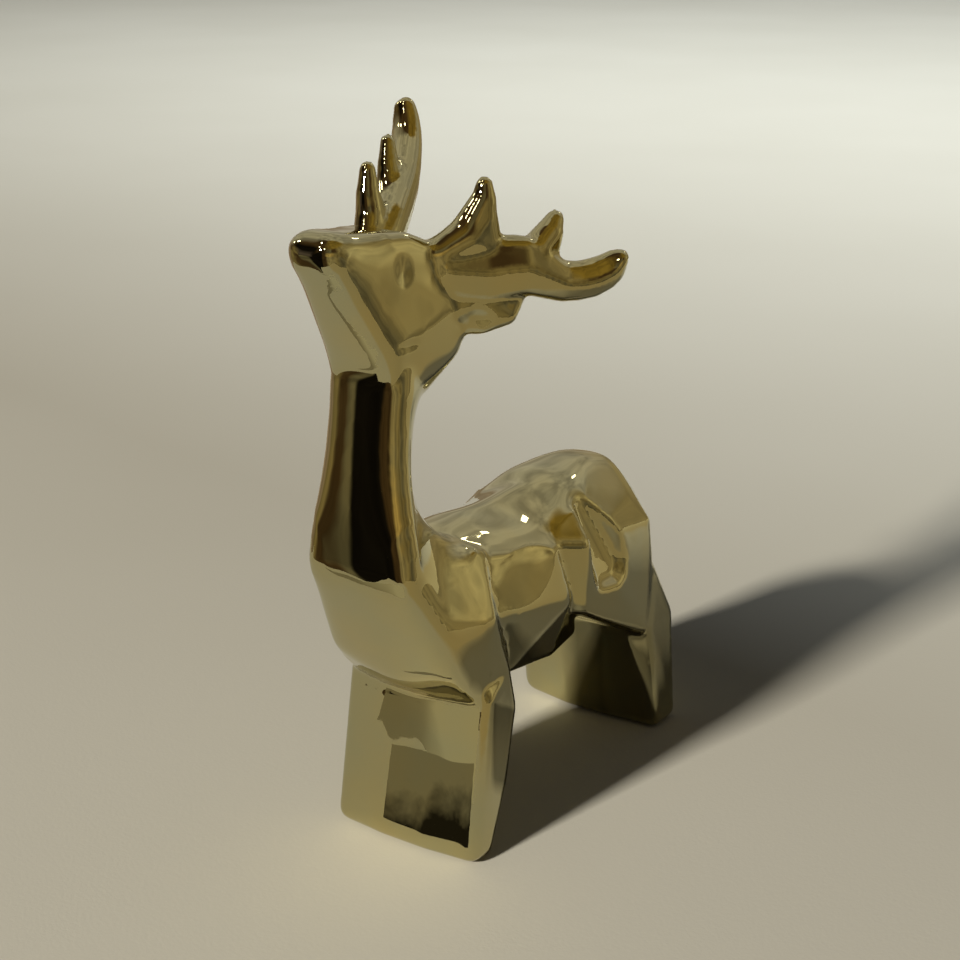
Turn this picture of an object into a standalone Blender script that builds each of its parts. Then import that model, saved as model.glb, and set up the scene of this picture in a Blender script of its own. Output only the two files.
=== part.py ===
"""A standing deer figurine in plated gold: faceted body on two leg slabs, raised head, leaf ears and three-point
antlers, all one casting. Metres, +Z up, the animal looks along -Y and its left side is +X."""

import bmesh
import bpy
from mathutils import Matrix, Vector

HEIGHT = 0.225
# The figure is laid out in steps: this many of them from the soles to the highest antler point.
STEPS_TALL = 176.0
STEP = HEIGHT / STEPS_TALL

# Places below are (x, y, z, radius of the rounding there) in steps. The soles are at z = 0 and the front of the
# fore slab's sole is at y = 0. Each block is listed for the animal's left side and mirrored to the right.
FORE_SOLE_HALF_WIDTH = 21.2
FORE_SOLE_FRONT = -1.0
FORE_SOLE_DEPTH = 9.0
HIND_SOLE_HALF_WIDTH = 22.2
HIND_SOLE_FRONT = 86.6
HIND_SOLE_DEPTH = 12.0
SOLE_ROUND = 2.2
TOE_ROUND = 3.2
# How far the middle of each slab's front stands ahead of its ends.
SOLE_BULGE = 1.2
RIGHT_TOE_ROUND = 4.0

FORE_SLAB = [
    (FORE_SOLE_HALF_WIDTH - TOE_ROUND, FORE_SOLE_FRONT + TOE_ROUND, TOE_ROUND, TOE_ROUND),
    (FORE_SOLE_HALF_WIDTH - SOLE_ROUND, FORE_SOLE_FRONT + FORE_SOLE_DEPTH - SOLE_ROUND, SOLE_ROUND, SOLE_ROUND),
    (6.0, FORE_SOLE_FRONT + TOE_ROUND - SOLE_BULGE, TOE_ROUND, TOE_ROUND),
    (17.4, 8.0, 41.0, 3.2),
    (6.0, 5.6, 41.0, 3.2),
    (17.8, 14.0, 16.0, 2.2),
    (17.2, 19.0, 34.0, 2.2),
    (16.6, 17.5, 44.0, 2.2),
]

SHOULDER = [
    (17.0, 7.3, 41.0, 2.2),
    (16.6, 17.5, 44.0, 2.2),
    (17.0, -5.4, 62.0, 1.6),
    (17.6, 11.0, 59.8, 1.7),
    (9.8, 3.2, 79.6, 1.6),
    (12.3, 14.0, 74.0, 1.7),
    (4.0, 16.0, 74.0, 2.0),
]

BREAST = [
    (17.0, 6.5, 40.5, 1.5),
    (16.6, -3.2, 52.2, 2.4),
    (17.1, -6.0, 62.2, 1.6),
    (12.2, -15.0, 74.6, 2.4),
    (0.0, -16.4, 76.0, 2.4),
    (0.0, -2.0, 45.5, 2.0),
    (12.2, -13.0, 81.0, 1.8),
    (9.0, 3.4, 78.4, 1.6),
    (8.0, 8.0, 76.0, 1.6),
]

# The neck is a round-fronted column drawn through level rings. Each ring is given by the ball at its front corner
# and the ball at its back corner: (height, x and y of the front ball, x and y of the back ball).
NECK_FRONT_ROUND = 4.6
NECK_BACK_ROUND = 3.4
# How far the middle of the neck's front stands ahead of its corners.
NECK_CROWN = 0.9
NECK_RINGS = [
    (124.0, 5.5, -9.2, 4.0, 2.5),
    (113.0, 6.0, -10.8, 3.2, -3.2),
    (103.0, 6.8, -12.0, 2.6, -5.2),
    (94.0, 7.9, -12.8, 3.0, -5.0),
    (87.0, 8.9, -13.3, 4.0, -2.8),
    (83.0, 9.8, -13.4, 4.6, 1.0),
    (77.5, 10.5, -13.5, 6.4, 5.6),
]

HEAD = [
    (2.4, -26.4, 151.9, 4.7),
    (6.5, -6.0, 151.4, 2.2),
    (8.0, 6.0, 145.5, 3.0),
    (8.8, -12.6, 130.0, 1.8),
    (9.6, 8.0, 136.0, 3.0),
    (7.6, 8.6, 124.8, 3.4),
    (7.2, -12.0, 122.2, 1.8),
    (4.0, 3.0, 117.0, 2.6),
]

TRUNK = [
    (4.0, 12.0, 77.6, 2.0),
    (4.5, 42.0, 77.4, 2.0),
    (12.0, 13.0, 73.0, 1.6),
    (15.4, 41.5, 66.8, 1.6),
    (16.4, 14.0, 59.0, 1.8),
    (17.3, 44.8, 53.0, 1.8),
    (14.0, 22.0, 42.4, 1.8),
    (12.5, 45.0, 38.0, 1.8),
    (12.0, 56.0, 39.4, 1.8),
    (4.0, 60.0, 76.0, 2.0),
]

HAUNCH = [
    (8.4, 57.0, 78.4, 1.8),
    (2.2, 62.0, 78.0, 1.8),
    (4.0, 76.0, 78.2, 2.4),
    (4.5, 86.0, 75.6, 2.4),
    (14.0, 42.5, 68.0, 1.6),
    (15.4, 45.5, 51.5, 1.6),
    (18.2, 51.5, 66.0, 1.6),
    (18.2, 51.5, 48.5, 1.6),
    (18.8, 83.0, 31.5, 1.8),
    (16.0, 89.0, 48.0, 2.0),
    (14.8, 88.0, 60.0, 2.5),
    (12.0, 86.5, 67.4, 1.8),
    (5.0, 93.0, 67.0, 2.5),
]

HIND_SLAB = [
    (HIND_SOLE_HALF_WIDTH - SOLE_ROUND, HIND_SOLE_FRONT + HIND_SOLE_DEPTH - SOLE_ROUND, SOLE_ROUND, SOLE_ROUND),
    (6.0, HIND_SOLE_FRONT + SOLE_ROUND - SOLE_BULGE, SOLE_ROUND, SOLE_ROUND),
    (19.0, 84.5, 30.0, 1.8),
    (6.0, 82.5, 30.0, 1.8),
    (16.5, 99.0, 30.0, 2.5),
    (15.5, 90.0, 46.0, 2.5),
    (12.0, 78.0, 44.0, 2.0),
]

# The hind slab's two front toes: the right one is rounded far more.
HIND_TOES = [
    (HIND_SOLE_HALF_WIDTH - SOLE_ROUND, HIND_SOLE_FRONT + SOLE_ROUND, SOLE_ROUND, SOLE_ROUND),
    (RIGHT_TOE_ROUND - HIND_SOLE_HALF_WIDTH, HIND_SOLE_FRONT + RIGHT_TOE_ROUND, RIGHT_TOE_ROUND, RIGHT_TOE_ROUND),
]

EAR = [
    (9.0, 5.0, 137.0, 3.0),
    (9.0, 9.0, 130.5, 2.4),
    (13.5, 13.0, 131.0, 3.0),
    (17.3, 17.6, 132.2, 2.6),
    (18.6, 20.0, 135.6, 1.8),
    (14.0, 13.0, 138.0, 3.0),
]

# An antler beam is a blade drawn through stations: (x, y, z of its lower edge's ball, radius, blade above it).
# Its side carries a keel: a smaller ball half way up each station, this share of the radius further out.
KEEL_OUT = 0.95
KEEL_ROUND = 0.4
# Half way between two stations the curve takes this much of each of them, less a little of the two beyond.
NEAR_WEIGHT = 9 / 16
FAR_WEIGHT = 1 / 16

LEFT_BEAM = [
    (8.8, 4.0, 141.0, 3.6, 7.0),
    (14.5, 13.0, 138.8, 3.5, 8.0),
    (20.0, 20.5, 139.6, 3.3, 7.0),
    (24.6, 29.0, 137.0, 3.3, 3.0),
    (29.0, 36.0, 137.2, 3.2, 2.8),
    (32.0, 39.6, 139.6, 2.7, 2.4),
    (33.63, 40.0, 143.1, 1.9, 0.0),
]
# A point starts from two balls in the beam and swells to a third, then narrows to its tip. Where two of its
# lengths overlap, the second one's balls are drawn at this share of their size.
COVERED = 0.96
LEFT_FIRST = [
    (9.2, 2.6, 147.4, 3.4),
    (15.2, 14.0, 147.5, 3.2),
    (12.4, 9.0, 150.7, 4.5),
    (14.5, 12.0, 155.0, 3.6),
    (14.9, 12.3, 158.8, 2.8),
    (15.0, 12.3, 161.8, 1.9),
]
LEFT_SECOND = [
    (18.6, 19.6, 142.4, 3.0),
    (21.4, 26.4, 141.2, 3.0),
    (20.9, 24.3, 146.0, 4.1),
    (21.9, 28.1, 149.4, 3.3),
    (22.1, 30.1, 152.2, 2.1),
]

RIGHT_BEAM = [
    (-8.5, 5.0, 144.0, 4.2, 3.0),
    (-10.5, 12.0, 149.5, 4.0, 3.0),
    (-14.6, 22.6, 157.0, 3.8, 2.0),
    (-18.6, 30.4, 164.6, 3.3, 1.0),
    (-20.8, 33.4, 169.8, 2.8, 0.6),
    (-21.8, 34.0, 173.4, 2.2, 0.0),
]
RIGHT_FIRST = [
    (-9.5, 2.5, 148.0, 3.6),
    (-10.5, 8.0, 150.0, 3.4),
    (-10.8, 5.0, 153.0, 3.5),
    (-11.5, 5.2, 158.4, 2.7),
    (-12.0, 6.0, 163.6, 1.8),
]
RIGHT_SECOND = [
    (-11.6, 13.0, 152.0, 3.4),
    (-13.8, 18.6, 155.0, 3.2),
    (-14.6, 17.6, 158.0, 3.3),
    (-15.9, 18.8, 162.8, 2.5),
    (-17.0, 20.2, 167.4, 1.7),
]

# What is scooped out of each haunch's side: a leaf hollow, wide at its foot and narrow at the hip.
HAUNCH_HOLLOW = [
    (14.0, 56.6, 79.0, 3.0),
    (21.0, 60.4, 67.0, 5.4),
    (24.6, 61.0, 56.0, 7.4),
    (25.2, 68.0, 55.8, 8.4),
]

PLATING_COLOR = (0.62, 0.52, 0.28)
PLATING_ROUGHNESS = 0.08


def clear_scene():
    for thing in list(bpy.data.objects):
        bpy.data.objects.remove(thing, do_unlink=True)


def mirrored(balls):
    """Each ball off the middle plane also gets its twin on the other side."""
    return balls + [(-x, y, z, r) for x, y, z, r in balls if x > 0]


def ball_points():
    """Directions from a ball's centre to the points of a small icosphere, the two poles among them."""
    bm = bmesh.new()
    bmesh.ops.create_icosphere(bm, subdivisions=2, radius=1.0)
    found = [v.co.copy() for v in bm.verts]
    bm.free()
    return found


BALL = ball_points()


def object_from(bm, name):
    """Turns the shape in hand into an object of the scene, with its faces looking out."""
    bmesh.ops.recalc_face_normals(bm, faces=bm.faces)
    mesh = bpy.data.meshes.new(name)
    bm.to_mesh(mesh)
    bm.free()
    thing = bpy.data.objects.new(name, mesh)
    bpy.context.scene.collection.objects.link(thing)
    return thing


def skin(name, balls):
    """A solid: the convex skin stretched over balls (x, y, z, radius), given in steps."""
    bm = bmesh.new()
    for x, y, z, radius in balls:
        for point in BALL:
            bm.verts.new((Vector((x, y, z)) + point * radius) * STEP)
    made = bmesh.ops.convex_hull(bm, input=bm.verts)
    inside = {v for v in made["geom_interior"] + made["geom_unused"] if isinstance(v, bmesh.types.BMVert)}
    bmesh.ops.delete(bm, geom=list(inside), context="VERTS")
    bmesh.ops.delete(bm, geom=[v for v in bm.verts if not v.link_faces], context="VERTS")
    return object_from(bm, name)


def block(name, balls):
    """One faceted block, the same on both sides."""
    return skin(name, mirrored(balls))


def column(name, levels):
    """A column drawn through level rings, one skin between each ring and the next."""
    corners = []
    for height, front_x, front_y, back_x, back_y in levels:
        front = (front_x, front_y, height, NECK_FRONT_ROUND)
        crown = (0.0, front_y - NECK_CROWN, height, NECK_FRONT_ROUND)
        back = (back_x, back_y, height, NECK_BACK_ROUND)
        corners.append(mirrored([front, crown, back]))
    return [skin(f"{name}_{i}", low + high) for i, (low, high) in enumerate(zip(corners, corners[1:]))]


def horn(name, balls):
    """A curved point: one skin over each three balls that follow one another. A ball that an earlier skin has
    already covered is drawn a little smaller, so that no two skins share a face."""
    made = []
    for i in range(len(balls) - 2):
        start = balls[i:i + 2]
        if i > 0:
            start = [(x, y, z, COVERED * r) for x, y, z, r in start]
        made.append(skin(f"{name}_{i}", start + [balls[i + 2]]))
    return made


def curved(stations):
    """The same stations with one more between each two, placed on a smooth curve through them."""
    ends = [stations[0]] + stations + [stations[-1]]
    found = [stations[0]]
    for before, start, end, after in zip(ends, ends[1:], ends[2:], ends[3:]):
        middle = tuple(
            NEAR_WEIGHT * (b + c) - FAR_WEIGHT * (a + d) for a, b, c, d in zip(before, start, end, after)
        )
        found += [middle, end]
    return found


def beam(name, stations):
    """An antler beam: one skin between each station and the next, with the keel's balls along its outer side."""
    stations = curved(stations)
    along = Vector(stations[-1][:3]) - Vector(stations[0][:3])
    out = along.cross(Vector((0, 0, 1))).normalized()
    if out.x * stations[0][0] < 0:
        out = -out
    made = []
    for i, pair in enumerate(zip(stations, stations[1:])):
        balls = []
        for x, y, z, radius, blade in pair:
            balls += [(x, y, z, radius), (x, y, z + blade, radius)]
            keel = Vector((x, y, z + blade / 2)) + out * KEEL_OUT * radius
            balls.append((*keel, KEEL_ROUND * radius))
        made.append(skin(f"{name}_{i}", balls))
    return made


def stand_on_origin(pieces, cutters):
    """Moves the figure so that the middle of its box, at the soles, is the origin."""
    points = [v.co for piece in pieces for v in piece.data.vertices]
    low = Vector(min(p[i] for p in points) for i in range(3))
    high = Vector(max(p[i] for p in points) for i in range(3))
    shift = Matrix.Translation((-(low.x + high.x) / 2, -(low.y + high.y) / 2, -low.z))
    for thing in pieces + cutters:
        thing.data.transform(shift)


def join(body, other, operation="UNION"):
    """Adds the other solid to the body, or takes it away, and leaves it as a hidden guide."""
    other.hide_render = True
    other.display_type = "WIRE"
    joint = body.modifiers.new(other.name, "BOOLEAN")
    joint.operation = operation
    joint.solver = "EXACT"
    joint.object = other


def material(name, color, roughness, metallic):
    """A plain coat for the whole figure."""
    made = bpy.data.materials.new(name)
    made.use_nodes = True
    shader = made.node_tree.nodes["Principled BSDF"]
    shader.inputs["Base Color"].default_value = (*color, 1.0)
    shader.inputs["Roughness"].default_value = roughness
    shader.inputs["Metallic"].default_value = metallic
    return made


def main():
    clear_scene()
    body = block("deer_figurine", TRUNK)
    pieces = [
        block("shoulder", SHOULDER),
        block("breast", BREAST),
        block("fore_slab", FORE_SLAB),
        block("haunch", HAUNCH),
        skin("hind_slab", mirrored(HIND_SLAB) + HIND_TOES),
        block("head", HEAD),
    ]
    pieces += column("neck", NECK_RINGS)
    for name, side in (("ear_left", 1), ("ear_right", -1)):
        pieces.append(skin(name, [(side * x, y, z, r) for x, y, z, r in EAR]))
    pieces += beam("left_beam", LEFT_BEAM) + beam("right_beam", RIGHT_BEAM)
    for name, tine in (
        ("left_first", LEFT_FIRST),
        ("left_second", LEFT_SECOND),
        ("right_first", RIGHT_FIRST),
        ("right_second", RIGHT_SECOND),
    ):
        pieces += horn(name, tine)
    cutters = [
        skin(name, [(side * x, y, z, r) for x, y, z, r in HAUNCH_HOLLOW])
        for side, name in ((1, "hollow_left"), (-1, "hollow_right"))
    ]
    stand_on_origin([body] + pieces, cutters)
    for piece in pieces:
        join(body, piece)
    for cutter in cutters:
        join(body, cutter, "DIFFERENCE")
    body.data.materials.append(material("plated_gold", PLATING_COLOR, PLATING_ROUGHNESS, 1.0))


main()
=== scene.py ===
# %% [markdown]
# # A gold-plated deer figurine
#
# The real thing is one hollow casting. It was glazed, then plated with a bright champagne gold that works as
# a mirror. This lesson takes the measured solid, melts its facets together as slip and glaze do, plates it,
# and lights it so that a mirror has something to show. The first step loads the solid, which stays in place.

# %% The measured solid
import math

import bpy
import numpy as np
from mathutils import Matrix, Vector
from mathutils.bvhtree import BVHTree


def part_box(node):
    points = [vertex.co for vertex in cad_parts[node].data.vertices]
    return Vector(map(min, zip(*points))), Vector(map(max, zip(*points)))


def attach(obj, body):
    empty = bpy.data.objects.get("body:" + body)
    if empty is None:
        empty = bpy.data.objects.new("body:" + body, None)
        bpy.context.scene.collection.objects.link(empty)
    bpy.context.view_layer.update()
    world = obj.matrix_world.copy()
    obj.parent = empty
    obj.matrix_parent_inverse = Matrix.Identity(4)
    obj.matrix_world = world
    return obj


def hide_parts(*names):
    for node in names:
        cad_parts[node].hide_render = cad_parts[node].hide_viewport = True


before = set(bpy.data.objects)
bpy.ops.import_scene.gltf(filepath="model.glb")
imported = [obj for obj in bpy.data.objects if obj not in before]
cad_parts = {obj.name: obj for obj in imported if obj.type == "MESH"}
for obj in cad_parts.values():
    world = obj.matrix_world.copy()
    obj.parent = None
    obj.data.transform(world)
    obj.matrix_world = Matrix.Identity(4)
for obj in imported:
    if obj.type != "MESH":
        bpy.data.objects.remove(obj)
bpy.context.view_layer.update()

low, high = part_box("deer_figurine")
TALL = high.z - low.z
MM = 0.001
print("the solid is", [round(side / MM, 1) for side in high - low], "mm")

# %% [markdown]
# ## Where the camera stands
#
# A mirror shows another room from each place, so the camera comes before the lights. It looks down on the
# back from the animal's front left. A long lens keeps the antlers from looking larger than the slabs. The
# place was found by fitting the corners of the soles, the nose and the antler points to the picture.

# %% The camera
LENS = 67.5
SENSOR = 36.0
TURNED = math.radians(34.08)
LOOKS_DOWN = math.radians(19.49)
CAMERA_PLACE = (0.28994, -0.44234, 0.29617)


def camera_at(place, turned, down, lens):
    camera = bpy.data.objects.new("camera", bpy.data.cameras.new("camera"))
    camera.data.lens = lens
    camera.data.sensor_width = SENSOR
    camera.data.clip_start = 0.01
    camera.location = place
    camera.rotation_euler = (math.pi / 2 - down, 0.0, turned)
    bpy.context.scene.collection.objects.link(camera)
    bpy.context.scene.camera = camera
    return camera


camera = camera_at(CAMERA_PLACE, TURNED, LOOKS_DOWN, LENS)
print("the camera stands", round(Vector(CAMERA_PLACE).length, 3), "m from the middle of the soles")

# %% [markdown]
# ## Writing shaders as sums
#
# Shader recipes are easier to read as sums than as a web of links. A `Wire` is one output of a shader node,
# and adding or multiplying wires adds the Math nodes. A `Bench` is one material's node tree, and its `add`
# makes any other node: its kind, its settings, then the values or wires of its sockets.


# %% Wires and benches
class Wire:
    """One output of a shader node, ready for arithmetic."""

    def __init__(self, bench, socket):
        self.bench = bench
        self.socket = socket

    def worked(self, operation, *values):
        """A Math node on this wire's bench."""
        return self.bench.add("ShaderNodeMath", {"operation": operation}, dict(enumerate(values)))

    def __add__(self, other):
        return self.worked("ADD", self, other)

    def __sub__(self, other):
        return self.worked("SUBTRACT", self, other)

    def __rsub__(self, other):
        return self.worked("SUBTRACT", other, self)

    def __mul__(self, other):
        return self.worked("MULTIPLY", self, other)

    def __truediv__(self, other):
        return self.worked("DIVIDE", self, other)

    def __rtruediv__(self, other):
        return self.worked("DIVIDE", other, self)

    __radd__ = __add__
    __rmul__ = __mul__


class Bench:
    """One material's node tree, emptied and given an output."""

    def __init__(self, name):
        self.material = bpy.data.materials.new(name)
        self.material.use_nodes = True
        self.tree = self.material.node_tree
        self.tree.nodes.clear()
        self.end = self.tree.nodes.new("ShaderNodeOutputMaterial")

    def add(self, kind, settings=None, sockets=None, output=0):
        """A node of any kind: settings first, then the values or wires of its sockets."""
        node = self.tree.nodes.new(kind)
        for name, value in (settings or {}).items():
            if name == "stops":
                self.set_stops(node.color_ramp, value)
            else:
                setattr(node, name, value)
        for name, value in (sockets or {}).items():
            if isinstance(value, Wire):
                self.tree.links.new(value.socket, node.inputs[name])
            else:
                node.inputs[name].default_value = value
        return Wire(self, node.outputs[output])

    def axes(self, vector):
        """The x, y and z of a vector wire."""
        split = self.add("ShaderNodeSeparateXYZ", None, {"Vector": vector}).socket.node
        return [Wire(self, split.outputs[axis]) for axis in "XYZ"]

    @staticmethod
    def set_stops(ramp, stops):
        while len(ramp.elements) < len(stops):
            ramp.elements.new(1.0)
        for element, (place, color) in zip(ramp.elements, stops):
            element.position = place
            element.color = (*color, 1.0)

    def finish(self, wire):
        """The material, with this wire as its surface."""
        self.tree.links.new(wire.socket, self.end.inputs["Surface"])
        return self.material


print("wires carry + - * /")

# %% [markdown]
# ## The plating
#
# Plated gold is a metal with next to no roughness. What tells it from a computer's mirror is small: the film
# is a little thicker here and thinner there, so its colour wanders between straw and olive; the glaze below
# has a soft, long ripple; and fingers leave faint dull places.

# %% Plated gold
STRAW = (0.51, 0.44, 0.22)
OLIVE = (0.45, 0.43, 0.26)
FILM_PATCH = 45.0
FILM_CONTRAST = 1.6
FILM_OFFSET = 0.3
RIPPLE_SIZE = 45.0
RIPPLE_HEIGHT = 0.00010
PEEL_SIZE = 260.0
PEEL_SHARE = 0.10
SMUDGE_SIZE = 60.0
SHINE = 0.015
SMUDGE_DULLS = 0.03


def color(rgb):
    """A socket's colour: red, green, blue and full cover."""
    return (*rgb, 1.0)


def mixed(bench, share, first, second, blend="MIX"):
    """One colour laid over another by a share. The colours are wires or plain (r, g, b)."""
    first, second = (end if isinstance(end, Wire) else color(end) for end in (first, second))
    return bench.add(
        "ShaderNodeMix",
        {"data_type": "RGBA", "blend_type": blend, "clamp_factor": True},
        {"Factor": share, "A": first, "B": second},
        output="Result",
    )


def plated_gold():
    """A near mirror of two golds, with a long ripple, a fine orange peel and dull smudges."""
    bench = Bench("plated_gold")
    place = bench.add("ShaderNodeTexCoord", output="Object")
    film = bench.add("ShaderNodeTexNoise", None, {"Vector": place, "Scale": FILM_PATCH, "Detail": 2.0})
    tint = mixed(bench, film * FILM_CONTRAST - FILM_OFFSET, STRAW, OLIVE)
    smudge = bench.add("ShaderNodeTexNoise", None, {"Vector": place, "Scale": SMUDGE_SIZE, "Detail": 4.0})
    ripple = bench.add("ShaderNodeTexNoise", None, {"Vector": place, "Scale": RIPPLE_SIZE, "Detail": 1.0})
    peel = bench.add("ShaderNodeTexNoise", None, {"Vector": place, "Scale": PEEL_SIZE, "Detail": 0.0})
    height = ripple + peel * PEEL_SHARE
    skin = bench.add("ShaderNodeBump", None, {"Strength": 1.0, "Distance": RIPPLE_HEIGHT, "Height": height})
    gold = bench.add(
        "ShaderNodeBsdfPrincipled",
        None,
        {
            "Base Color": tint,
            "Metallic": 1.0,
            "Roughness": smudge * SMUDGE_DULLS + SHINE,
            "Normal": skin,
        },
    )
    return bench.finish(gold)


print("the plating mirrors", [round(channel, 2) for channel in STRAW])

# %% [markdown]
# ## Melting the facets together
#
# Slip and glaze never leave a sharp corner. A Bevel modifier rounds each edge by one width, and here no two
# edges are rounded alike. So the solid is cast again as a fine even net (a voxel remesh), and each point of
# the net is drawn towards the middle of its neighbours, many times. That would eat the thin antler points, so
# each point first learns how thick the casting is below it. Where it is thin, every pull is followed by a
# push back of nearly the same size, which takes out the net's ripple and leaves the form.

# %% The fine net
NET = 0.9 * MM


def fine_net(node, cell):
    """A copy of a node's mesh, remeshed into even cells."""
    copy = bpy.data.objects.new("deer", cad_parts[node].data.copy())
    bpy.context.scene.collection.objects.link(copy)
    remesh = copy.modifiers.new("net", "REMESH")
    remesh.mode = "VOXEL"
    remesh.voxel_size = cell
    cast = bpy.data.meshes.new_from_object(copy.evaluated_get(bpy.context.evaluated_depsgraph_get()))
    copy.modifiers.clear()
    copy.data = cast
    return copy


def read_vectors(values, name):
    found = np.empty(len(values) * 3)
    values.foreach_get(name, found)
    return found.reshape(-1, 3)


def read_edges(mesh):
    edges = np.empty(len(mesh.edges) * 2, int)
    mesh.edges.foreach_get("vertices", edges)
    return edges.reshape(-1, 2).T


deer = fine_net("deer_figurine", NET)
net_edges = read_edges(deer.data)
print("the net has", len(deer.data.vertices), "points")

# %% How thick the casting is
THIN = 9.0 * MM
THICK = 17.0 * MM
SPREAD_ROUNDS = 7


def neighbour_means(values, edges):
    """For each point, the mean of its neighbours' values."""
    first, second = edges
    size = len(values)
    count = np.bincount(first, minlength=size) + np.bincount(second, minlength=size)
    means = np.empty_like(values)
    for axis in range(values.shape[1]):
        value = values[:, axis]
        means[:, axis] = np.bincount(first, value[second], size) + np.bincount(second, value[first], size)
    return means / count[:, None]


def thickness(thing, skip=0.2 * MM):
    """How far it is from each point, straight in, to the far side of the casting."""
    tree = BVHTree.FromObject(thing, bpy.context.evaluated_depsgraph_get())
    depths = []
    for vertex in thing.data.vertices:
        inward = -vertex.normal
        depth = tree.ray_cast(vertex.co + inward * skip, inward)[3]
        depths.append(depth if depth is not None else THICK)
    return np.array(depths)


depths = thickness(deer)
stoutness = np.clip((depths - THIN) / (THICK - THIN), 0.0, 1.0)[:, None]
for _ in range(SPREAD_ROUNDS):
    stoutness = neighbour_means(stoutness, net_edges)
print("share of the net that counts as thin:", round(float((stoutness < 0.5).mean()), 2))

# %% The melted casting
# The spine's own x and all the eggs are in millimetres, and an egg's x is counted from the spine.
SPINE = -7.2
ROUND_PLACES = {
    # middle, half lengths, and how strongly the place is rounded
    "breast": ((0.0, -54.0, 77.0), (31.0, 30.0, 30.0), 0.40),
    "back": ((0.0, 8.0, 106.0), (24.0, 44.0, 22.0), 1.0),
    "rump": ((0.0, 68.0, 94.0), (26.0, 38.0, 28.0), 0.40),
    "neck": ((0.0, -56.0, 128.0), (18.0, 26.0, 34.0), 0.40),
    "neck root": ((13.0, -45.0, 104.0), (13.0, 17.0, 15.0), 0.8),
    "other neck root": ((-13.0, -45.0, 104.0), (13.0, 17.0, 15.0), 0.8),
    "throat": ((0.0, -40.0, 160.0), (18.0, 16.0, 16.0), 0.40),
    "under jaw": ((0.0, -68.0, 176.0), (18.0, 18.0, 26.0), 0.35),
    "flank": ((23.0, -11.0, 84.0), (8.0, 18.0, 9.0), 0.8),
    "other flank": ((-23.0, -11.0, 84.0), (8.0, 18.0, 9.0), 0.8),
}
MELTING_ROUNDS = 13
PULL = 0.5
PUSH_BACK = 0.52
SAG_ROUNDS = 30
SAG_GAIN = 0.6
ROUNDING_ROUNDS = 181
ROUND_CORE = 2.0
ROUND_STAYS_FLUSH = 2.5


def melt(points, edges, stout, rounds):
    """Pulls every point towards its neighbours, and pushes the thin places back."""
    for _ in range(rounds):
        points = points + PULL * (neighbour_means(points, edges) - points)
        points = points - PUSH_BACK * (1.0 - stout) * (neighbour_means(points, edges) - points)
    return points


def egg(points, middle, half_lengths):
    """1 in the middle of an egg-shaped place, falling to 0 at its edge. Millimetres, x from the spine."""
    place = np.array(middle) + (SPINE, 0.0, 0.0)
    offset = (points - place * MM) / (np.array(half_lengths) * MM)
    return np.clip(1.0 - (offset**2).sum(axis=1), 0.0, 1.0)[:, None]


def round_off(points, edges, rounds):
    """Melts the round places much further than the rest."""
    share = np.zeros((len(points), 1))
    for middle, half_lengths, strength in ROUND_PLACES.values():
        place = np.clip(ROUND_CORE * egg(points, middle, half_lengths), 0.0, 1.0)
        share = np.maximum(share, strength * place)
    for _ in range(rounds):
        points = points + PULL * share * (neighbour_means(points, edges) - points)
    return points, share


def proud_edges(points, edges, where, rounds, gain):
    """Lets the flats sag a little and leaves the edges proud."""
    sagged = melt(points, edges, np.ones_like(where), rounds)
    return points + gain * where * (points - sagged)


melted = melt(read_vectors(deer.data.vertices, "co"), net_edges, stoutness, MELTING_ROUNDS)
melted, roundness = round_off(melted, net_edges, ROUNDING_ROUNDS)
edged = stoutness * np.clip(1.0 - ROUND_STAYS_FLUSH * roundness, 0.0, 1.0)
melted = proud_edges(melted, net_edges, edged, SAG_ROUNDS, SAG_GAIN)
print("melted", MELTING_ROUNDS, "times, and in", len(ROUND_PLACES), "round places", ROUNDING_ROUNDS, "more")

# %% [markdown]
# ## Soft hollows
#
# A few hollows are too shallow to carve in the solid: the dished back between neck and hip, the drop-shaped
# dimple high on each cheek, the cup of each ear, and the faint sag in the middle of a flat panel that makes
# its rim look like a frame. They are thumbed into the melted skin, on both sides of the spine. Each thumb is
# an egg (its middle and its three half lengths, in millimetres; x is counted from the spine) and a depth.

# %% Thumbing the hollows
THUMBS = {
    # middle, half lengths and depth
    "back": ((8.0, 3.0, 101.0), (11.0, 23.0, 12.0), 1.6),
    "cheek": ((12.0, -56.0, 177.0), (5.0, 17.0, 20.0), 0.35),
    "dimple": ((12.0, -57.4, 186.8), (4.0, 4.2, 5.6), 0.5),
    "jaw hook": ((13.6, -57.5, 166.0), (5.0, 6.0, 2.4), 0.5),
    "ear": ((19.5, -33.0, 168.5), (8.0, 6.0, 5.0), 1.3),
    "shoulder": ((20.5, -38.5, 88.0), (5.0, 10.0, 14.0), 0.5),
    "flank": ((22.0, -9.0, 82.0), (5.0, 17.0, 11.0), 0.5),
    "slab": ((0.0, -45.0, 26.0), (22.0, 8.0, 26.0), 0.25),
}


def thumb(points, inward, middle, half_lengths, depth):
    """Presses the skin inward under an egg, most at its middle and not at all at its edge."""
    for side in (1.0, -1.0):
        near = egg(points, np.array(middle) * (side, 1.0, 1.0), half_lengths)
        points = points + inward * near**2 * depth * MM
    return points


deer.data.vertices.foreach_set("co", melted.ravel())
deer.data.update()
for middle, half_lengths, depth in THUMBS.values():
    inward = -read_vectors(deer.data.vertices, "normal")
    melted = thumb(melted, inward, middle, half_lengths, depth)
melted = np.clip(melted, np.array(low), np.array(high))
deer.data.vertices.foreach_set("co", melted.ravel())
deer.data.update()
deer.data.shade_smooth()
deer.data.materials.clear()
deer.data.materials.append(plated_gold())
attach(deer, "root")
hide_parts("deer_figurine")
print("the casting has", len(deer.data.polygons), "small faces")

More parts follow.
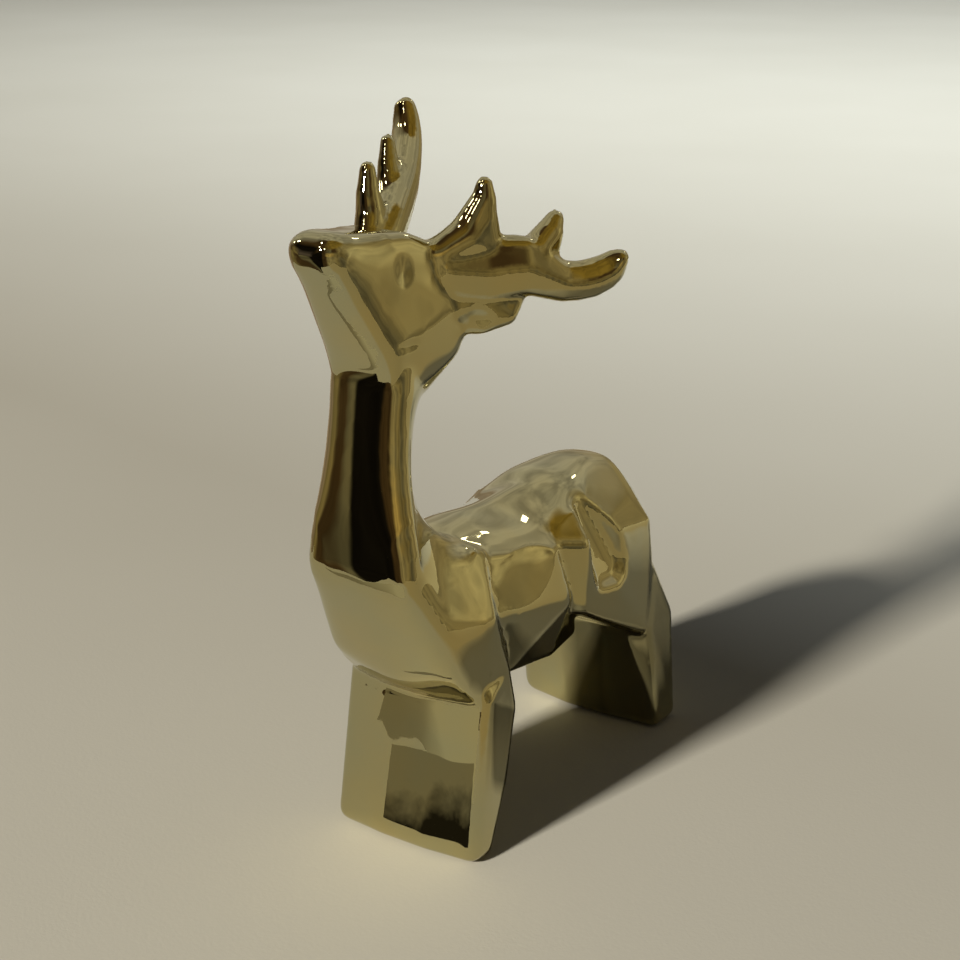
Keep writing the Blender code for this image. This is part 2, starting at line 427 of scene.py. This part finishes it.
# %% [markdown]
# ## The room that the mirror shows
#
# Most of what is seen on plated gold isn't gold: it is floor, lamp and room. A plain pale floor runs out of
# sight, and the camera sees only that. The mirror is shown something richer: a short sheet of paper with
# painted shade beside the animal, a painted shadow under its belly and a warm tint beyond, and that ends a
# little way in front of it.

# %% The floor and the near sheet
FLOOR_SIDE = 12.0
FLOOR_DROP = 0.0004
SHEET_DROP = 0.0002
SHEET_OUTLINE = [
    (-0.34, -0.165),
    (-0.07, -0.165),
    (-0.07, -0.26),
    (0.34, -0.26),
    (0.34, 0.90),
    (-0.34, 0.90),
]
CLOUD_SIZE = 3.0
TOOTH_SIZE = 900.0
TOOTH_HEIGHT = 0.0002
TOOTH_STRENGTH = 0.2
PAPER_ROUGHNESS = 0.8
PAPER = (0.62, 0.59, 0.50)
WARM_PAPER = (0.59, 0.50, 0.31)
PAPER_SHADED = (0.56, 0.53, 0.44)


def paper_sheet(bench, sockets):
    """Matt paper with the given sockets."""
    matt = {"Roughness": PAPER_ROUGHNESS, "Specular IOR Level": 0.0}
    return bench.finish(bench.add("ShaderNodeBsdfPrincipled", None, {**sockets, **matt}))


def pale_sheet():
    """The paper as the camera sees it: pale, a little cloudy, with a fine tooth."""
    bench = Bench("pale_sheet")
    place = bench.add("ShaderNodeTexCoord", output="Object")
    cloud = bench.add("ShaderNodeTexNoise", None, {"Vector": place, "Scale": CLOUD_SIZE, "Detail": 2.0})
    grain = bench.add("ShaderNodeTexNoise", None, {"Vector": place, "Scale": TOOTH_SIZE, "Detail": 2.0})
    tooth = bench.add(
        "ShaderNodeBump", None, {"Strength": TOOTH_STRENGTH, "Distance": TOOTH_HEIGHT, "Height": grain}
    )
    return paper_sheet(bench, {"Base Color": mixed(bench, cloud, PAPER, PAPER_SHADED), "Normal": tooth})


def soft_step(wire, start, end):
    """0 before start, 1 after end, and a straight slope between them."""
    slope = (wire - start) * (1.0 / (end - start))
    return slope.worked("MINIMUM", slope.worked("MAXIMUM", slope, 0.0), 1.0)


def between(wire, start, end, blur):
    """1 between start and end, 0 outside, with blurred ends."""
    return soft_step(wire, start, start + blur) * (1.0 - soft_step(wire, end - blur, end))


print("the paper is", [round(channel, 2) for channel in PAPER])

# %% What the mirror sees of the paper
# Places on the sheet in metres: where they start and end, and how wide their blurred ends are.
BESIDE_X = (0.03, 0.15, 0.03)
BESIDE_Y = (-0.01, 0.30, 0.06)
BELLY_Y = (0.0, 0.072, 0.01)
BELLY_SHADOW_X = (-0.020, 0.006, 0.008)
BELLY_HALF_SHADOW_X = (-0.006, 0.08, 0.012)
BELLY_MIDDLE = 0.06
BELLY_SLANT = 0.6
# How much the painted shade beside the figure and the painted shadow under the belly darken the sheet.
BESIDE_PAINTED_SHADE = 0.55
BELLY_PAINTED_SHADOW = 0.6
WARM_X = (0.11, 0.15)


def mirrored_sheet():
    """The paper as the mirror sees it: painted shade beside the figure, a warm tint beyond, and a painted
    shadow under the belly.
    """
    bench = Bench("mirrored_sheet")
    place = bench.add("ShaderNodeTexCoord", output="Object")
    x, y, _ = bench.axes(place)
    across = x - (y - BELLY_MIDDLE) * BELLY_SLANT
    # Painted shade beside the figure, and a painted shadow under the belly in two steps, dark and half dark.
    beside = between(x, *BESIDE_X) * between(y, *BESIDE_Y)
    painted_belly_shadow = between(y, *BELLY_Y) * between(across, *BELLY_SHADOW_X)
    painted_belly_half_shadow = between(y, *BELLY_Y) * between(across, *BELLY_HALF_SHADOW_X)
    share = (1.0 - beside * BESIDE_PAINTED_SHADE) * (1.0 - painted_belly_shadow * BELLY_PAINTED_SHADOW) * (1.0 - painted_belly_half_shadow * BELLY_PAINTED_SHADOW)
    grey = bench.add("ShaderNodeCombineXYZ", None, {"X": share, "Y": share, "Z": share})
    paper = mixed(bench, soft_step(x, *WARM_X), PAPER, WARM_PAPER)
    return paper_sheet(bench, {"Base Color": mixed(bench, 1.0, paper, grey, "MULTIPLY")})


def panel(name, corners, made_of):
    """One flat face of the stage."""
    mesh = bpy.data.meshes.new(name)
    mesh.from_pydata(corners, [], [tuple(range(len(corners)))])
    mesh.materials.append(made_of)
    face = bpy.data.objects.new(name, mesh)
    bpy.context.scene.collection.objects.link(face)
    return face


def square(side):
    """The corners of a square round the middle."""
    half = side / 2
    return [(-half, -half), (half, -half), (half, half), (-half, half)]


def flat_sheet(name, outline, drop, made_of):
    return panel(name, [(x, y, -drop) for x, y in outline], made_of)


def only_in_mirrors(thing):
    """Hides a thing from everything but mirrors, so that it throws no light and no shadow."""
    thing.visible_camera = False
    thing.visible_diffuse = False
    thing.visible_shadow = False
    thing.visible_transmission = False


floor = flat_sheet("floor", square(FLOOR_SIDE), FLOOR_DROP, pale_sheet())
floor.visible_glossy = False
near_sheet = flat_sheet("near_sheet", SHEET_OUTLINE, SHEET_DROP, mirrored_sheet())
only_in_mirrors(near_sheet)
print("the near sheet has", len(SHEET_OUTLINE), "corners")

# %% [markdown]
# ## Two cards of painted reflection before the fore slab
#
# Low on the fore slab the mirror shows a dark, ragged corner, and above it a pale one. Both are painted
# reflections. They can't be painted on the paper, because the breast sees the same paper from another angle
# and would turn dark too. Two upright glowing cards that only mirrors see solve this: they stand so low and
# so close that the breast looks over them.

# %% The two cards
DARK_CARD = [(-0.0215, 0.004), (0.019, 0.003), (0.019, 0.030), (-0.0215, 0.027)]
DARK_CARD_PLACE = -0.058
PALE_CARD = [(-0.115, 0.0), (0.050, 0.0), (0.050, 0.046), (-0.02, 0.046), (-0.06, 0.027), (-0.115, 0.020)]
PALE_CARD_PLACE = -0.130
RAG_SIZE = 150.0
DUSK_CLIMBS = 0.2
DUSK_RAG = 0.02
DUSK_RISE = (0.006, 0.020)
DAWN_RAG = 0.004
DAWN_X = (-0.068, -0.015)
CARD_DARK = (0.018, 0.015, 0.010)
CARD_OLIVE = (0.25, 0.22, 0.15)
CARD_PALE = (0.50, 0.46, 0.34)


def standing_card(name, outline, place, tint_of):
    """An upright card that glows with a painted reflection and that only mirrors see; tint_of makes its
    colour from its bench, x, height and a ragged noise.
    """
    bench = Bench(name)
    where = bench.add("ShaderNodeTexCoord", output="Object")
    rag = bench.add("ShaderNodeTexNoise", None, {"Vector": where, "Scale": RAG_SIZE, "Detail": 3.0})
    x, _, height = bench.axes(where)
    tint = tint_of(bench, x, height, rag - 0.5)
    glow = bench.add("ShaderNodeEmission", None, {"Color": tint, "Strength": 1.0})
    card = panel(name, [(x, place, z) for x, z in outline], bench.finish(glow))
    only_in_mirrors(card)
    return card


def painted_dark_reflection(bench, x, height, rag):
    """Painted reflection: dark at the foot, olive above, with a ragged line between them that climbs to the
    right.
    """
    above = height - x * DUSK_CLIMBS + rag * DUSK_RAG
    return mixed(bench, soft_step(above, *DUSK_RISE), CARD_DARK, CARD_OLIVE)


def painted_pale_reflection(bench, x, height, rag):
    """Painted reflection: olive on the left and pale on the right."""
    return mixed(bench, soft_step(x + rag * DAWN_RAG, *DAWN_X), CARD_OLIVE, CARD_PALE)


standing_card("dark_reflection_card", DARK_CARD, DARK_CARD_PLACE, painted_dark_reflection)
standing_card("pale_reflection_card", PALE_CARD, PALE_CARD_PLACE, painted_pale_reflection)
places = [round(-place / MM) for place in (DARK_CARD_PLACE, PALE_CARD_PLACE)]
print("the cards stand", places, "mm before the middle")

# %% [markdown]
# ## The tent
#
# Past the sheet stands a tent, a ball that glows with the room's colours and that only mirrors see. It is a
# painted reflection of the room, its light and shade included. Its wall is painted in four rings, one above
# the other. `turn` runs once round each ring, from behind the figure past its right side, its face and its
# left side. `rise` runs from the floor below to the roof above. A soft noise breaks the bands up, because a
# real room is full of small things.

# %% The tent
TENT_RADIUS = 9.0
CLUTTER_SIZE = 0.55
CLUTTER_CONTRAST = 3.0
CLUTTER_DIMS = 0.55
DARK = (0.010, 0.008, 0.006)
UMBER = (0.09, 0.055, 0.025)
PLUM = (0.13, 0.10, 0.09)
SHADE = (0.21, 0.18, 0.11)
BROWN = (0.31, 0.24, 0.11)
TAN = (0.42, 0.34, 0.18)
GOLD = (0.68, 0.49, 0.19)
STRAW_WALL = (0.74, 0.63, 0.36)
AMBER = (0.34, 0.23, 0.05)
ROSY = (0.40, 0.30, 0.21)
GREY = (0.60, 0.56, 0.48)
FOOT_ROOM = [
    (0.00, TAN),
    (0.20, ROSY),
    (0.27, ROSY),
    (0.285, BROWN),
    (0.315, BROWN),
    (0.335, UMBER),
    (0.36, UMBER),
    (0.375, SHADE),
    (0.39, SHADE),
    (0.40, DARK),
    (0.49, DARK),
    (0.51, UMBER),
    (0.57, UMBER),
    (0.60, TAN),
    (0.66, TAN),
    (0.72, BROWN),
    (0.77, SHADE),
    (0.80, SHADE),
    (0.84, TAN),
    (1.00, TAN),
]
LOW_ROOM = [
    (0.00, TAN),
    (0.17, GREY),
    (0.20, ROSY),
    (0.28, UMBER),
    (0.34, BROWN),
    (0.375, PLUM),
    (0.40, PLUM),
    (0.42, DARK),
    (0.49, DARK),
    (0.51, UMBER),
    (0.55, UMBER),
    (0.59, GOLD),
    (0.66, GOLD),
    (0.70, BROWN),
    (0.81, BROWN),
    (0.85, TAN),
    (0.865, STRAW_WALL),
    (0.90, STRAW_WALL),
    (0.93, TAN),
    (1.00, TAN),
]
HIGH_ROOM = [
    (0.00, GREY),
    (0.24, GREY),
    (0.31, UMBER),
    (0.35, DARK),
    (0.41, DARK),
    (0.44, UMBER),
    (0.48, DARK),
    (0.55, UMBER),
    (0.61, SHADE),
    (0.65, SHADE),
    (0.67, UMBER),
    (0.72, UMBER),
    (0.76, BROWN),
    (0.80, TAN),
    (0.90, TAN),
    (0.93, GREY),
    (1.00, GREY),
]
ROOF_ROOM = [
    (0.00, GREY),
    (0.26, GREY),
    (0.34, UMBER),
    (0.50, UMBER),
    (0.68, AMBER),
    (0.88, AMBER),
    (0.905, GREY),
    (1.00, GREY),
]
RINGS_ABOVE = (
    # the ring, and the rise where it begins to show and where it has taken over
    (LOW_ROOM, -0.05, 0.0214),
    (HIGH_ROOM, 1 / 6, 1 / 3),
    (ROOF_ROOM, 1 / 2, 2 / 3),
)


# %% Raising the tent
def room_colors():
    """The glow of the wall, a painted reflection of the room: four rings, each blended into the one below,
    under a soft clutter.
    """
    bench = Bench("room_colors")
    place = bench.add("ShaderNodeTexCoord", output="Object")
    x, y, z = bench.axes(place)
    turn = x.worked("ARCTAN2", x, y) / (2 * math.pi)
    turn = turn.worked("FRACT", turn * -1.0)
    rise = z / TENT_RADIUS
    around = bench.add("ShaderNodeValToRGB", {"stops": FOOT_ROOM}, {"Fac": turn})
    for room, begins, full in RINGS_ABOVE:
        ring = bench.add("ShaderNodeValToRGB", {"stops": room}, {"Fac": turn})
        around = mixed(bench, soft_step(rise, begins, full), around, ring)
    clutter = bench.add("ShaderNodeTexNoise", None, {"Vector": place, "Scale": CLUTTER_SIZE, "Detail": 3.0})
    dimmed = mixed(bench, 1.0, around, (CLUTTER_DIMS,) * 3, "MULTIPLY")
    clear = clutter * CLUTTER_CONTRAST - (CLUTTER_CONTRAST - 1.0) / 2
    inside = mixed(bench, clear, dimmed, around)
    glow = bench.add("ShaderNodeEmission", None, {"Color": inside, "Strength": 1.0})
    return bench.finish(glow)


def tent(radius, made_of):
    """A ball round everything, seen by mirrors alone."""
    bpy.ops.mesh.primitive_uv_sphere_add(segments=48, ring_count=24, radius=radius)
    ball = bpy.context.object
    ball.name = "tent"
    ball.data.materials.append(made_of)
    only_in_mirrors(ball)
    return ball


tent(TENT_RADIUS, room_colors())
print("the tent is", 2 * TENT_RADIUS, "m across")

# %% [markdown]
# ## Light
#
# One lamp stands in front of the animal and throws the shadow back and a little aside. It is small enough to
# leave a sharp spark at each corner of the plating. Six bright cards that only mirrors see add painted sparks
# beside it: they glow but are not lamps. A second lamp, behind the figure and turned away from it, lifts the
# far floor. The air is filled with a faint pale light, so the shadow stays open.

# %% The lamp, the cards and the air
LAMP_AWAY = 7.0
LAMP_TURN = math.radians(-10.5)
LAMP_RISE = math.radians(27.0)
LAMP_SIDE = 0.70
LAMP_POWER = 670.0
LAMP_COLOR = (1.0, 0.96, 0.88)
FAR_LAMP_PLACE = Vector((-0.58, 0.62, 2.42))
FAR_LAMP_LOOKS = Vector((0.199, 0.969, -0.148))
FAR_LAMP_SIDE = 1.0
FAR_LAMP_POWER = 160.0
FAR_LAMP_COLOR = (0.84, 0.92, 1.0)
CARDS = (
    # turn from the front in degrees, rise in degrees, side in metres, brightness
    (-80.0, 26.0, 0.22, 12.0),
    (-66.0, 40.0, 0.26, 14.0),
    (-36.0, 62.0, 0.26, 14.0),
    (-24.0, 42.0, 0.20, 14.0),
    (14.0, 38.0, 0.20, 12.0),
    (178.0, 34.0, 0.16, 10.0),
)
CARDS_AWAY = 2.6
AIR = (0.90, 0.89, 0.86)
AIR_STRENGTH = 0.06
MIDDLE = Vector((0.0, 0.0, TALL / 2))


def from_figure(turn, rise, away):
    """A place seen from the figure's middle: turn is 0 straight ahead of it and grows towards its left."""
    flat = away * math.cos(rise)
    return MIDDLE + Vector((flat * math.sin(turn), -flat * math.cos(turn), away * math.sin(rise)))


def facing(thing, place, aim):
    """Puts a thing in its place with its -Z side towards the aim."""
    thing.location = place
    thing.rotation_euler = (aim - place).to_track_quat("-Z", "Y").to_euler()


def lamp(name, place, aim, side, power):
    light = bpy.data.lights.new(name, "AREA")
    light.shape = "SQUARE"
    light.size = side
    light.energy = power
    light.color = LAMP_COLOR
    holder = bpy.data.objects.new(name, light)
    facing(holder, place, aim)
    bpy.context.scene.collection.objects.link(holder)
    return holder


# A glowing card that only mirrors see, for a painted highlight.
def bright_card(name, place, side, strength):
    bench = Bench(name)
    glow = bench.add("ShaderNodeEmission", None, {"Color": color(LAMP_COLOR), "Strength": strength})
    card = panel(name, [(x, y, 0.0) for x, y in square(side)], bench.finish(glow))
    facing(card, place, MIDDLE)
    only_in_mirrors(card)
    return card


def soft_air(rgb, strength):
    world = bpy.data.worlds.new("soft_air")
    world.use_nodes = True
    air = world.node_tree.nodes["Background"]
    air.inputs["Color"].default_value = color(rgb)
    air.inputs["Strength"].default_value = strength
    bpy.context.scene.world = world


lamp("lamp", from_figure(LAMP_TURN, LAMP_RISE, LAMP_AWAY), MIDDLE, LAMP_SIDE, LAMP_POWER)
far_lamp = lamp("far_lamp", FAR_LAMP_PLACE, FAR_LAMP_PLACE + FAR_LAMP_LOOKS, FAR_LAMP_SIDE, FAR_LAMP_POWER)
far_lamp.data.color = FAR_LAMP_COLOR
far_lamp.visible_glossy = False
for number, (turn, rise, side, strength) in enumerate(CARDS):
    place = from_figure(math.radians(turn), math.radians(rise), CARDS_AWAY)
    bright_card(f"card_{number}", place, side, strength)
soft_air(AIR, AIR_STRENGTH)
bpy.context.scene.view_settings.view_transform = "Standard"
print("the lamp is", LAMP_AWAY, "m away, with", len(CARDS), "cards beside it")
